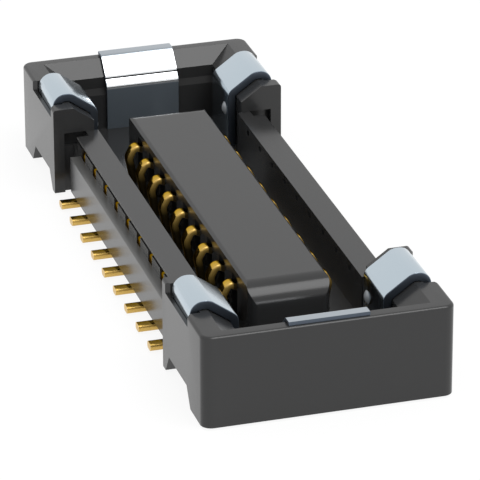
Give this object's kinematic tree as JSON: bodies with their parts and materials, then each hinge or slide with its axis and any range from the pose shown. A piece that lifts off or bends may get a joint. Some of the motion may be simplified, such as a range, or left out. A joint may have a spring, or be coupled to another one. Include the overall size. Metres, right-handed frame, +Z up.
{
  "type": "board-to-board receptacle connector",
  "caption": "Low rectangular surface-mount receptacle with two rows of spring contacts along a centre island, solder tails on both sides and metal-clad end blocks.",
  "frame": {"origin": "on the circuit board's surface, at the middle of the connector", "axes": "+X across the connector towards the right row of tails, +Y along the connector towards its rear end, +Z up from the board, the way the mating half leaves"},
  "size_m": [0.0024, 0.0064, 0.001],
  "materials": {
    "housing_plastic": "black moulded liquid-crystal polymer with a slight sheen",
    "contact_metal": "gold-plated copper alloy strip",
    "nail_metal": "bright plated sheet metal"
  },
  "bodies": {
    "root": {"housing": "housing_plastic", "contact_left_1": "contact_metal", "contact_left_2": "contact_metal", "contact_left_3": "contact_metal", "contact_left_4": "contact_metal", "contact_left_5": "contact_metal", "contact_left_6": "contact_metal", "contact_left_7": "contact_metal", "contact_left_8": "contact_metal", "contact_left_9": "contact_metal", "contact_right_1": "contact_metal", "contact_right_2": "contact_metal", "contact_right_3": "contact_metal", "contact_right_4": "contact_metal", "contact_right_5": "contact_metal", "contact_right_6": "contact_metal", "contact_right_7": "contact_metal", "contact_right_8": "contact_metal", "contact_right_9": "contact_metal", "corner_nail_front_left": "nail_metal", "corner_nail_front_right": "nail_metal", "end_plate_front": "nail_metal", "corner_nail_rear_left": "nail_metal", "corner_nail_rear_right": "nail_metal", "end_plate_rear": "nail_metal"}
  },
  "joints": []
}
